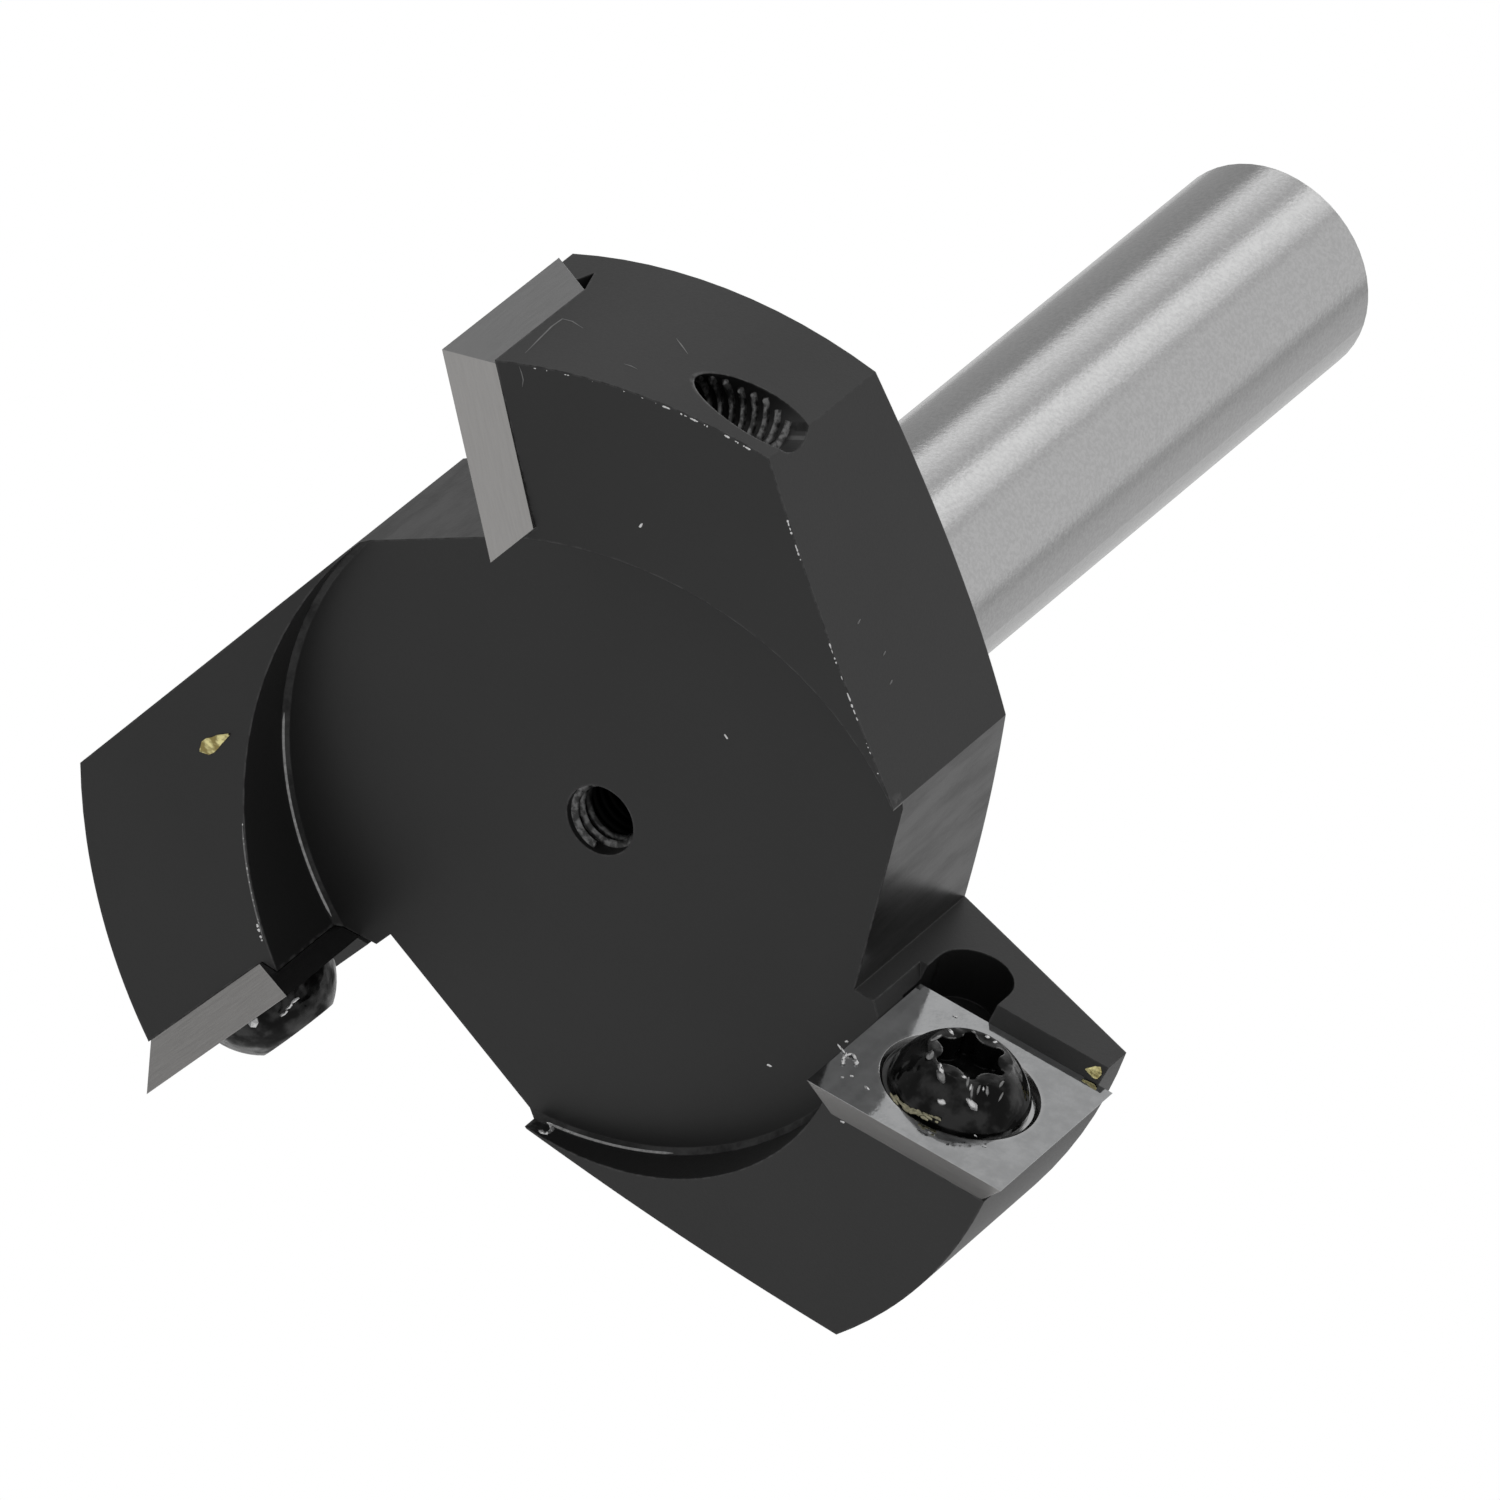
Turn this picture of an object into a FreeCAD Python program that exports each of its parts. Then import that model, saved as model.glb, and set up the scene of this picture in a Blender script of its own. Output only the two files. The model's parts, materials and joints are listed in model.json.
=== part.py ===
# Surfacing router bit: a three-winged steel cutter body on a plain round shank,
# with three square carbide inserts, each held by one domed six-lobe screw.
#
# Millimetres. The origin is on the axis of rotation, in the plane of the three
# lower cutting edges, and +Z runs up the shank. Wing 1 reaches along +X and
# cuts towards -Y, so the bit turns clockwise when it is seen from the shank.

import FreeCAD, Part
import math
import os
import Sketcher

WINGS = 3
WING_ANGLE = 360.0 / WINGS
LOBES = 6

# The relief is shaped in this many steps from one wing's half plane to the next one's.
RELIEF_STEPS = 3
# Cuts that leave through the outer surface end at this many head radii.
OVERRUN = 1.6

# Each driving dimension has one named cell, in millimetres or degrees.
SIZES = {
    # Whole tool
    "overall_length": 81.0,
    "shank_diameter": 12.7,
    "shank_chamfer": 0.5,
    # Turned head
    "head_radius": 29.3,
    "head_edge_height": 14.5,
    "crown_angle": 20.7,
    "shoulder_radius": 10.5,
    "shoulder_fillet": 2.0,
    "dish_radius": 19.2,
    "dish_floor_height": 7.6,
    "dish_chamfer": 0.3,
    "centre_hole_depth": 12.0,
    "drill_point_angle": 118.0,
    # Gullets, between one wing's leading face and the back of the wing before it
    "leading_face_offset": 1.4,
    "gullet_margin": 1.77,
    "gullet_angle": 2.5,
    "wing_back_offset": 19.27,
    "wing_back_angle": 2.1,
    # Wing underside, which climbs behind the insert in step with the angle
    "relief_lead": 23.4,
    # Square insert, whose outer cutting edge stands proud of the head
    "insert_overhang": 0.9,
    "insert_size": 12.0,
    "insert_thickness": 2.15,
    "insert_bevel_angle": 32.0,
    "insert_hole_diameter": 4.4,
    "insert_counterbore_diameter": 8.2,
    "insert_counterbore_depth": 0.4,
    "insert_rim_chamfer": 0.25,
    "rake_offset": 2.25,
    "seat_clearance": 0.04,
    # Relief slot at the inner top corner of each pocket, and the seat's corner groove
    "slot_diameter": 4.34,
    "slot_inset": 2.06,
    "slot_rise": 1.8,
    "slot_overcut": 0.2,
    "groove_width": 1.1,
    "groove_rise": 1.9,
    # Insert screw and its thread
    "thread_diameter": 4.0,
    "thread_clearance": 0.05,
    "screw_length": 8.0,
    "screw_tip_chamfer": 0.4,
    "screw_head_diameter": 7.7,
    "screw_head_height": 2.5,
    "screw_head_band": 0.4,
    "screw_head_flat_diameter": 4.6,
    "screw_dome_radius": 4.3,
    "recess_tip_diameter": 4.1,
    "recess_valley_diameter": 2.95,
    "recess_tip_radius": 0.32,
    "recess_depth": 1.5,
}

document = FreeCAD.newDocument("surfacing_router_bit")


def make_sheet():
    """Write the driving dimensions into the sheet, one aliased cell each."""
    sheet = document.addObject("Spreadsheet::Sheet", "Sizes")
    for row, (name, value) in enumerate(SIZES.items(), start=1):
        sheet.set("A%d" % row, name)
        sheet.set("B%d" % row, str(value))
        sheet.setAlias("B%d" % row, name)
    document.recompute()
    return sheet


sheet = make_sheet()


def value(expression):
    """Work out an expression over the sheet's cells as a plain number."""
    result = sheet.evalExpression(expression)
    return float(getattr(result, "Value", result))


# Lengths worked out from the driving dimensions, written as expressions.
SHANK_RADIUS = "(Sizes.shank_diameter / 2)"
CROWN_TOP = (
    "(Sizes.head_edge_height"
    " + (Sizes.head_radius - Sizes.shoulder_radius) * tan(Sizes.crown_angle))"
)
THREAD_RADIUS = "(Sizes.thread_diameter / 2)"
BEVEL_SLOPE = "tan(Sizes.insert_bevel_angle)"
BEVEL_DROP = "(Sizes.insert_thickness * %s)" % BEVEL_SLOPE
SEAT_DEPTH = "(Sizes.rake_offset + Sizes.insert_thickness)"
CUTTING_RADIUS = "(Sizes.head_radius + Sizes.insert_overhang)"
INSERT_OUTER = "sqrt(%s ^ 2 - Sizes.rake_offset ^ 2)" % CUTTING_RADIUS
INSERT_INNER = "(%s - Sizes.insert_size)" % INSERT_OUTER
# The gullet's root lies a little nearer the axis than the insert.
GULLET_ROOT = "(%s - Sizes.gullet_margin)" % INSERT_INNER
HOLE_X = "(%s - Sizes.insert_size / 2)" % INSERT_OUTER
HOLE_Z = "(Sizes.insert_size / 2)"
SLOT_X = "(%s + Sizes.slot_inset)" % INSERT_INNER
SLOT_Z = "(Sizes.insert_size + Sizes.slot_rise)"
SCREW_SEAT = "(Sizes.rake_offset + Sizes.insert_counterbore_depth)"
# How far out and how far down those cuts reach.
PAST_HEAD = "(Sizes.head_radius * %s)" % OVERRUN
BELOW_HEAD = "(-Sizes.insert_size)"


def new_body(label):
    """Start a body whose label names the sub-part and its file."""
    body = document.addObject("PartDesign::Body", label)
    body.Label = label
    return body


def origin_feature(body, role):
    """Find one of the body's own origin planes or axes."""
    for feature in body.Origin.OriginFeatures:
        if feature.Role == role:
            return feature
    raise ValueError(role)


def new_sketch(body, name, role, shift=(), turn=None):
    """Attach a sketch to an origin plane, moved by (direction, expression) pairs."""
    sketch = body.newObject("Sketcher::SketchObject", name)
    sketch.AttachmentSupport = [(origin_feature(body, role), "")]
    sketch.MapMode = "FlatFace"
    if turn is not None:
        axis, angle = turn
        sketch.AttachmentOffset = FreeCAD.Placement(
            FreeCAD.Vector(0, 0, 0), FreeCAD.Rotation(FreeCAD.Vector(*axis), angle)
        )
    for direction, expression in shift:
        sketch.setExpression("AttachmentOffset.Base." + direction, expression)
    return sketch


def bind(sketch, constraint, expression):
    """Add a dimension and tie it to its expression."""
    index = sketch.addConstraint(constraint)
    sketch.setExpression("Constraints[%d]" % index, expression)


def place_point(sketch, edge, end, across, along):
    """Hold a point at (across, along) from the sketch's own origin."""
    if across == "0":
        sketch.addConstraint(Sketcher.Constraint("PointOnObject", edge, end, -2))
    else:
        bind(sketch, Sketcher.Constraint("DistanceX", -1, 1, edge, end, value(across)), across)
    if along == "0":
        sketch.addConstraint(Sketcher.Constraint("PointOnObject", edge, end, -1))
    else:
        bind(sketch, Sketcher.Constraint("DistanceY", -1, 1, edge, end, value(along)), along)


def arc_between(start, end, radius, side):
    """Give the arc from start to end that bulges to the right (1) or left (-1)."""
    chord = end - start
    half = chord.Length / 2
    rise = math.sqrt(radius * radius - half * half)
    normal = FreeCAD.Vector(-chord.y, chord.x, 0).normalize()
    centre = (start + end) * 0.5 + normal * (rise * side)
    first = math.atan2(start.y - centre.y, start.x - centre.x)
    last = math.atan2(end.y - centre.y, end.x - centre.x)
    if side < 0:
        first, last = last, first
    circle = Part.Circle(centre, FreeCAD.Vector(0, 0, 1), radius)
    return Part.ArcOfCircle(circle, first, last)


def draw_outline(sketch, corners, arcs=None):
    """Draw a closed outline; arcs maps an edge's number to (radius, side)."""
    arcs = arcs or {}
    points = [FreeCAD.Vector(value(x), value(y), 0) for x, y in corners]
    count = len(points)
    starts = []
    ends = []
    for number in range(count):
        start = points[number]
        end = points[(number + 1) % count]
        if number in arcs:
            radius, side = arcs[number]
            edge = sketch.addGeometry(arc_between(start, end, value(radius), side))
            starts.append(1 if side > 0 else 2)
            ends.append(2 if side > 0 else 1)
            bind(sketch, Sketcher.Constraint("Radius", edge, value(radius)), radius)
        else:
            sketch.addGeometry(Part.LineSegment(start, end))
            starts.append(1)
            ends.append(2)
    for number in range(count):
        after = (number + 1) % count
        sketch.addConstraint(
            Sketcher.Constraint("Coincident", number, ends[number], after, starts[after])
        )
        across, along = corners[number]
        place_point(sketch, number, starts[number], across, along)


def draw_circle(sketch, across, along, radius):
    """Draw a circle with its centre and radius tied to expressions."""
    centre = FreeCAD.Vector(value(across), value(along), 0)
    edge = sketch.addGeometry(Part.Circle(centre, FreeCAD.Vector(0, 0, 1), value(radius)))
    place_point(sketch, edge, 3, across, along)
    bind(sketch, Sketcher.Constraint("Radius", edge, value(radius)), radius)


def rectangle(left, right, bottom, top):
    """List the corners of an upright rectangle."""
    return [(left, bottom), (right, bottom), (right, top), (left, top)]


def revolve(body, kind, name, sketch):
    """Turn a profile all the way round its sketch's own vertical axis."""
    feature = body.newObject("PartDesign::" + kind, name)
    feature.Profile = sketch
    feature.ReferenceAxis = (sketch, ["V_Axis"])
    feature.Angle = 360.0
    body.Tip = feature


def cut_straight(body, name, sketch, depth=None, reverse=False):
    """Cut a sketch straight in, to a depth or right through."""
    pocket = body.newObject("PartDesign::Pocket", name)
    pocket.Profile = sketch
    pocket.Reversed = reverse
    if depth is None:
        pocket.Type = "ThroughAll"
    else:
        pocket.Type = "Length"
        pocket.setExpression("Length", depth)
    body.Tip = pocket
    return pocket


def cut_between(body, name, sketches, ruled):
    """Cut away the solid that joins a row of sections, straight or in a smooth sweep."""
    loft = body.newObject("PartDesign::SubtractiveLoft", name)
    loft.Profile = sketches[0]
    loft.Sections = sketches[1:]
    loft.Ruled = ruled
    body.Tip = loft
    return loft


def repeat_round(body, name, features, axis, count):
    """Repeat features evenly round an axis."""
    pattern = body.newObject("PartDesign::PolarPattern", name)
    pattern.Originals = features
    pattern.Axis = axis
    pattern.Angle = 360.0
    pattern.Occurrences = count
    body.Tip = pattern


def turn_blank(body):
    """Turn the head, its dish, its crown and the shank from one bar."""
    sketch = new_sketch(body, "BlankProfile", "XZ_Plane")
    fillet_foot = "(%s + Sizes.shoulder_fillet)" % SHANK_RADIUS
    corners = [
        ("0", "Sizes.dish_floor_height"),
        ("Sizes.dish_radius - Sizes.dish_chamfer", "Sizes.dish_floor_height"),
        ("Sizes.dish_radius", "Sizes.dish_floor_height - Sizes.dish_chamfer"),
        ("Sizes.dish_radius", "0"),
        ("Sizes.head_radius", "0"),
        ("Sizes.head_radius", "Sizes.head_edge_height"),
        ("Sizes.shoulder_radius", CROWN_TOP),
        (fillet_foot, CROWN_TOP),
        (SHANK_RADIUS, CROWN_TOP + " + Sizes.shoulder_fillet"),
        (SHANK_RADIUS, "Sizes.overall_length - Sizes.shank_chamfer"),
        (SHANK_RADIUS + " - Sizes.shank_chamfer", "Sizes.overall_length"),
        ("0", "Sizes.overall_length"),
    ]
    draw_outline(sketch, corners, {7: ("Sizes.shoulder_fillet", -1)})
    revolve(body, "Revolution", "TurnedBlank", sketch)


def drill_centre(body):
    """Drill the tapped hole up from the middle of the dish, to its thread's outer size."""
    sketch = new_sketch(body, "CentreHoleProfile", "XZ_Plane")
    full_depth = "Sizes.dish_floor_height + Sizes.centre_hole_depth"
    point = "%s / tan(Sizes.drill_point_angle / 2)" % THREAD_RADIUS
    corners = [
        ("0", "0"),
        (THREAD_RADIUS, "0"),
        (THREAD_RADIUS, full_depth),
        ("0", full_depth + " + " + point),
    ]
    draw_outline(sketch, corners)
    revolve(body, "Groove", "CentreHole", sketch)


def cut_gullet(body):
    """Clear the space in front of wing 1, up to the back of the wing before it."""
    sketch = new_sketch(body, "GulletOutline", "XY_Plane")
    # The back of the wing before lies at this slant from the gullet's own axes.
    slant = "(%s + Sizes.wing_back_angle)" % (WING_ANGLE - 90)
    distance = "(Sizes.wing_back_offset * cos(Sizes.wing_back_angle))"
    overrun = (
        "({r} * cos({s}) - Sizes.leading_face_offset * sin({s}) - {d})"
    ).format(r=GULLET_ROOT, s=slant, d=distance)
    closing = "(cos({s}) * sin(Sizes.gullet_angle) - sin({s}) * cos(Sizes.gullet_angle))".format(
        s=slant
    )
    face_length = "(%s / %s)" % (overrun, closing)
    corner_x = "(%s - %s * sin(Sizes.gullet_angle))" % (GULLET_ROOT, face_length)
    corner_y = "(Sizes.leading_face_offset - %s * cos(Sizes.gullet_angle))" % face_length
    far_x = "(%s - %s * sin(%s))" % (corner_x, PAST_HEAD, slant)
    far_y = "(%s - %s * cos(%s))" % (corner_y, PAST_HEAD, slant)
    corners = [
        (GULLET_ROOT, "Sizes.leading_face_offset"),
        (corner_x, corner_y),
        (far_x, far_y),
        (PAST_HEAD, far_y),
        (PAST_HEAD, "Sizes.leading_face_offset"),
    ]
    draw_outline(sketch, corners)
    return cut_straight(body, "Gullet", sketch, reverse=True)


def cut_relief(body):
    """Slope the underside of wing 1 so that it climbs evenly with the angle."""
    # The slope starts level with the insert's back lower edge, at its outer corner.
    start_angle = "(atan(%s / Sizes.head_radius) / (1 deg))" % SEAT_DEPTH
    sections = []
    for number in range(RELIEF_STEPS + 1):
        angle = WING_ANGLE * number / RELIEF_STEPS
        sketch = new_sketch(
            body, "ReliefSection%d" % number, "XZ_Plane", turn=((0, 1, 0), angle)
        )
        climb = "(%s + Sizes.relief_lead * (%s - %s) / 360)" % (BEVEL_DROP, angle, start_angle)
        inner = "(Sizes.dish_radius - Sizes.insert_thickness)"
        draw_outline(sketch, rectangle(inner, PAST_HEAD, BELOW_HEAD, climb))
        sections.append(sketch)
    return cut_between(body, "WingRelief", sections, ruled=False)


def cut_pocket(body):
    """Cut the insert's pocket, whose walls lean like the insert's bevels."""
    sections = []
    for number, depth in enumerate(("0", SEAT_DEPTH)):
        sketch = new_sketch(
            body, "PocketSection%d" % number, "XZ_Plane", shift=[("z", "-(%s)" % depth)]
        )
        lean = "((Sizes.rake_offset - %s) * %s + Sizes.seat_clearance)" % (depth, BEVEL_SLOPE)
        left = "(%s - %s)" % (INSERT_INNER, lean)
        top = "(Sizes.insert_size + %s)" % lean
        draw_outline(sketch, rectangle(left, PAST_HEAD, BELOW_HEAD, top))
        sections.append(sketch)
    return cut_between(body, "InsertPocket", sections, ruled=True)


def cut_corner_slot(body):
    """Cut the round-ended relief slot at the pocket's inner top corner."""
    radius = "(Sizes.slot_diameter / 2)"
    depth = SEAT_DEPTH + " + Sizes.slot_overcut"
    end_sketch = new_sketch(body, "SlotEnd", "XZ_Plane")
    draw_circle(end_sketch, SLOT_X, SLOT_Z, radius)
    slot_end = cut_straight(body, "CornerSlotEnd", end_sketch, depth)
    side_sketch = new_sketch(body, "SlotSides", "XZ_Plane")
    left = SLOT_X + " - " + radius
    right = SLOT_X + " + " + radius
    draw_outline(side_sketch, rectangle(left, right, "Sizes.insert_size - Sizes.slot_rise", SLOT_Z))
    slot_sides = cut_straight(body, "CornerSlotSides", side_sketch, depth)
    return [slot_end, slot_sides]


def cut_seat_groove(body):
    """Cut the small three-sided groove where the pocket's top wall meets its seat."""
    sketch = new_sketch(body, "SeatGrooveOutline", "YZ_Plane", shift=[("z", SLOT_X)])
    foot = "(Sizes.insert_size - %s)" % BEVEL_DROP
    corners = [
        (SEAT_DEPTH, foot),
        ("%s - Sizes.groove_width" % SEAT_DEPTH, "%s + Sizes.groove_width * %s" % (foot, BEVEL_SLOPE)),
        ("%s - Sizes.groove_width / 2" % SEAT_DEPTH, "%s + Sizes.groove_rise" % foot),
    ]
    draw_outline(sketch, corners)
    return cut_straight(body, "SeatGroove", sketch, reverse=True)


def drill_screw_hole(body):
    """Drill the tapped hole from the seat out through the wing's outer surface."""
    sketch = new_sketch(body, "ScrewHoleOutline", "XZ_Plane")
    draw_circle(sketch, HOLE_X, HOLE_Z, THREAD_RADIUS)
    return cut_straight(body, "ScrewHole", sketch)


def make_cutter_body():
    """Turn the blank, then mill one wing and repeat its cuts round the axis."""
    body = new_body("cutter_body")
    turn_blank(body)
    drill_centre(body)
    cuts = [cut_gullet(body), cut_relief(body), cut_pocket(body)]
    cuts += cut_corner_slot(body)
    cuts += [cut_seat_groove(body), drill_screw_hole(body)]
    repeat_round(body, "Wings", cuts, (origin_feature(body, "Z_Axis"), [""]), WINGS)
    return body


def make_insert(number):
    """Make one insert, bevelled on all four sides, with its counterbored hole."""
    body = new_body("insert_%d" % number)
    square = new_sketch(body, "InsertSquare%d" % number, "XZ_Plane", shift=[("z", "-Sizes.rake_offset")])
    draw_outline(square, rectangle(INSERT_INNER, INSERT_OUTER, "0", "Sizes.insert_size"))
    blank = body.newObject("PartDesign::Pad", "InsertBlank%d" % number)
    blank.Profile = square
    blank.Reversed = True
    blank.setExpression("Length", "Sizes.insert_thickness")
    blank.setExpression("TaperAngle", "-Sizes.insert_bevel_angle")
    body.Tip = blank
    profile = new_sketch(
        body,
        "InsertHoleProfile%d" % number,
        "XY_Plane",
        shift=[("x", HOLE_X), ("y", "Sizes.rake_offset"), ("z", HOLE_Z)],
    )
    wall = "(Sizes.insert_hole_diameter / 2)"
    bore = "(Sizes.insert_counterbore_diameter / 2)"
    corners = [
        ("0", "0"),
        (bore + " + Sizes.insert_rim_chamfer", "0"),
        (bore, "Sizes.insert_rim_chamfer"),
        (bore, "Sizes.insert_counterbore_depth"),
        (wall, "Sizes.insert_counterbore_depth"),
        (wall, "Sizes.insert_thickness"),
        ("0", "Sizes.insert_thickness"),
    ]
    draw_outline(profile, corners)
    revolve(body, "Groove", "InsertHole%d" % number, profile)
    return body


def draw_recess_sector(sketch):
    """Draw a sixth of the recess: one rounded tip between two halves of a valley."""
    tip = value("Sizes.recess_tip_diameter / 2")
    valley = value("Sizes.recess_valley_diameter / 2")
    tip_radius = value("Sizes.recess_tip_radius")
    reach = tip - tip_radius
    half_angle = math.pi / LOBES
    cosine = math.cos(half_angle)
    valley_radius = (tip_radius ** 2 - reach ** 2 - valley ** 2 + 2 * cosine * reach * valley) / (
        2 * (valley - cosine * reach - tip_radius)
    )
    away = valley + valley_radius
    zenith = FreeCAD.Vector(0, 0, 1)
    origin = FreeCAD.Vector(0, 0, 0)
    tip_centre = FreeCAD.Vector(reach, 0, 0)
    side = {}
    for sign in (-1, 1):
        direction = FreeCAD.Vector(cosine, sign * math.sin(half_angle), 0)
        centre = direction * away
        side[sign] = (direction * valley, centre, (tip_centre - centre).normalize())
    ends, centre, inward = side[-1]
    first_line = sketch.addGeometry(Part.LineSegment(origin, ends))
    lower = sketch.addGeometry(
        Part.ArcOfCircle(
            Part.Circle(centre, zenith, valley_radius),
            math.atan2(inward.y, inward.x),
            math.atan2(-centre.y, -centre.x),
        )
    )
    tip_angle = math.atan2(-inward.y, -inward.x)
    round_tip = sketch.addGeometry(
        Part.ArcOfCircle(Part.Circle(tip_centre, zenith, tip_radius), tip_angle, -tip_angle)
    )
    ends, centre, inward = side[1]
    upper = sketch.addGeometry(
        Part.ArcOfCircle(
            Part.Circle(centre, zenith, valley_radius),
            math.atan2(-centre.y, -centre.x) % (2 * math.pi),
            math.atan2(inward.y, inward.x) % (2 * math.pi),
        )
    )
    last_line = sketch.addGeometry(Part.LineSegment(ends, origin))
    join = sketch.addConstraint
    join(Sketcher.Constraint("Coincident", first_line, 1, -1, 1))
    join(Sketcher.Constraint("Coincident", last_line, 2, -1, 1))
    join(Sketcher.Constraint("Coincident", first_line, 2, lower, 2))
    join(Sketcher.Constraint("Tangent", lower, 1, round_tip, 1))
    join(Sketcher.Constraint("Tangent", round_tip, 2, upper, 2))
    join(Sketcher.Constraint("Coincident", upper, 1, last_line, 1))
    join(Sketcher.Constraint("PointOnObject", lower, 3, first_line))
    join(Sketcher.Constraint("PointOnObject", upper, 3, last_line))
    tip_reach = "Sizes.recess_tip_diameter / 2 - Sizes.recess_tip_radius"
    place_point(sketch, round_tip, 3, tip_reach, "0")
    bind(sketch, Sketcher.Constraint("Radius", round_tip, tip_radius), "Sizes.recess_tip_radius")
    valley_x = "Sizes.recess_valley_diameter / 2 * cos(%s)" % (180 / LOBES)
    valley_y = "Sizes.recess_valley_diameter / 2 * sin(%s)" % (180 / LOBES)
    place_point(sketch, first_line, 2, valley_x, "-" + valley_y)
    place_point(sketch, last_line, 1, valley_x, valley_y)


def make_screw(number):
    """Make one screw: a turned blank with a six-lobe recess in its domed head."""
    body = new_body("insert_screw_%d" % number)
    profile = new_sketch(
        body,
        "ScrewProfile%d" % number,
        "XY_Plane",
        shift=[("x", HOLE_X), ("y", SCREW_SEAT), ("z", HOLE_Z)],
    )
    shaft = "(%s - Sizes.thread_clearance)" % THREAD_RADIUS
    head = "Sizes.screw_head_diameter / 2"
    corners = [
        ("0", "-Sizes.screw_head_height"),
        ("Sizes.screw_head_flat_diameter / 2", "-Sizes.screw_head_height"),
        (head, "-Sizes.screw_head_band"),
        (head, "0"),
        (shaft, "0"),
        (shaft, "Sizes.screw_length - Sizes.screw_tip_chamfer"),
        (shaft + " - Sizes.screw_tip_chamfer", "Sizes.screw_length"),
        ("0", "Sizes.screw_length"),
    ]
    draw_outline(profile, corners, {1: ("Sizes.screw_dome_radius", 1)})
    revolve(body, "Revolution", "ScrewBlank%d" % number, profile)
    head_top = "(%s - Sizes.screw_head_height)" % SCREW_SEAT
    sector = new_sketch(
        body,
        "RecessSector%d" % number,
        "XZ_Plane",
        shift=[("x", HOLE_X), ("y", HOLE_Z), ("z", "-" + head_top)],
    )
    draw_recess_sector(sector)
    recess = cut_straight(body, "Recess%d" % number, sector, "Sizes.recess_depth")
    repeat_round(body, "RecessLobes%d" % number, [recess], (sector, ["N_Axis"]), LOBES)
    return body


def set_on_wing(body, number):
    """Turn a piece that was drawn on wing 1 to its own wing."""
    turn = FreeCAD.Rotation(FreeCAD.Vector(0, 0, 1), WING_ANGLE * (number - 1))
    body.Placement = FreeCAD.Placement(FreeCAD.Vector(0, 0, 0), turn)


def check_document():
    """Stop if any object failed to build."""
    for item in document.Objects:
        if "Invalid" in item.State or "Error" in item.State:
            raise RuntimeError("%s did not build: %s" % (item.Label, item.State))


def export(body):
    """Check one finished piece and write it as a STEP file."""
    shape = body.Shape
    if shape.isNull() or not shape.isValid() or len(shape.Solids) != 1:
        raise RuntimeError("%s is not one valid solid" % body.Label)
    shape.exportStep("parts/%s.step" % body.Label)


pieces = [make_cutter_body()]
for wing in range(1, WINGS + 1):
    for make in (make_insert, make_screw):
        piece = make(wing)
        set_on_wing(piece, wing)
        pieces.append(piece)

document.recompute()
check_document()
os.makedirs("parts", exist_ok=True)
for piece in pieces:
    export(piece)
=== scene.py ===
import json
import math
import random

import bmesh
import bpy
from mathutils import Matrix, Quaternion, Vector
from mathutils.bvhtree import BVHTree


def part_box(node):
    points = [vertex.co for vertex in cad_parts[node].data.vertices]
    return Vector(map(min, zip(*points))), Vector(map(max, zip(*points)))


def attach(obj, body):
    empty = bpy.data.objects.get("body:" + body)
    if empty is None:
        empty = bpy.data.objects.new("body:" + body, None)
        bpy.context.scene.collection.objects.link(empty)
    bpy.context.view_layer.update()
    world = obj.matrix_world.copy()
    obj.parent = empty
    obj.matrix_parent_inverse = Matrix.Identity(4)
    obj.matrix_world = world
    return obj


# A surfacing router bit: black head with three carbide inserts, ground steel shank.
# Lengths in named values are millimetres, and MM turns them into metres.
MM = 0.001
WINGS = 3

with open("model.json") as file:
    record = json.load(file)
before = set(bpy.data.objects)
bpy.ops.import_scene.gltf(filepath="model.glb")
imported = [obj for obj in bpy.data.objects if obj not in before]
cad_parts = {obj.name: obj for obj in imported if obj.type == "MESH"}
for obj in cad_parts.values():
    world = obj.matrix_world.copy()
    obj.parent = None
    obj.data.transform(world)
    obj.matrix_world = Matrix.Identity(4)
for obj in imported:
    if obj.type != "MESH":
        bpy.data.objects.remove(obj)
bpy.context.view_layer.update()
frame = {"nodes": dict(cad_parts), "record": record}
nodes = frame["nodes"]
mounts = {mount["name"]: mount for mount in frame["record"]["mounts"]}

# Places read from the frame, in millimetres. Wing 1 reaches along +X.
body_low, body_high = (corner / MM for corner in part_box("cutter_body"))
insert_low, _ = (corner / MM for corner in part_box("insert_1"))
screw_low, screw_high = (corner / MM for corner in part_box("insert_screw_1"))
HEAD_RADIUS = -body_low.y
SCREW_X = (screw_low.x + screw_high.x) / 2
SCREW_Z = (screw_low.z + screw_high.z) / 2
SCREW_TIP = screw_high.y
# The counterbore's rim in an insert, round the screw's axis: 0.25 outside the screw's head.
SEAT_RIM = (screw_high.x - screw_low.x) / 2 + 0.25
RAKE_Y = insert_low.y
THREAD_WALL = mounts["centre_hole"]["dims"]["r_mm"]
CENTRE_MIDDLE = mounts["centre_hole"]["pos_m"][2] / MM
CENTRE_DEPTH = mounts["centre_hole"]["dims"]["length_mm"]
SHANK_FOOT = body_high.z - mounts["shank"]["dims"]["length_mm"]

# The walls at the gullets' roots lie this far from the axis.
GULLET_WALL = 16.4
# The dish's wall lies this far from the axis, and the painted highlight on its chamfer this far.
DISH_RADIUS = 19.2
LIP_RADIUS = 19.12
# The chamfer round the dish, just under its floor, slants like this.
LIP_SLOPE = math.sin(math.radians(45))
# Just above the dish's floor, where the centre hole begins.
DISH_FLOOR = CENTRE_MIDDLE - CENTRE_DEPTH / 2 + 0.05

# Standard coarse thread of the insert screws and of the centre hole.
THREAD_PITCH = 0.7
THREAD_CREST = 1.64
# The thread of a screw hole ends short of the wing's flat back, this far along the hole.
EXIT_LIMIT = 17.6

# Rays that look for a surface start at this height under the head, or this far to its side.
UNDER = -5
OUTSIDE = 30


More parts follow.
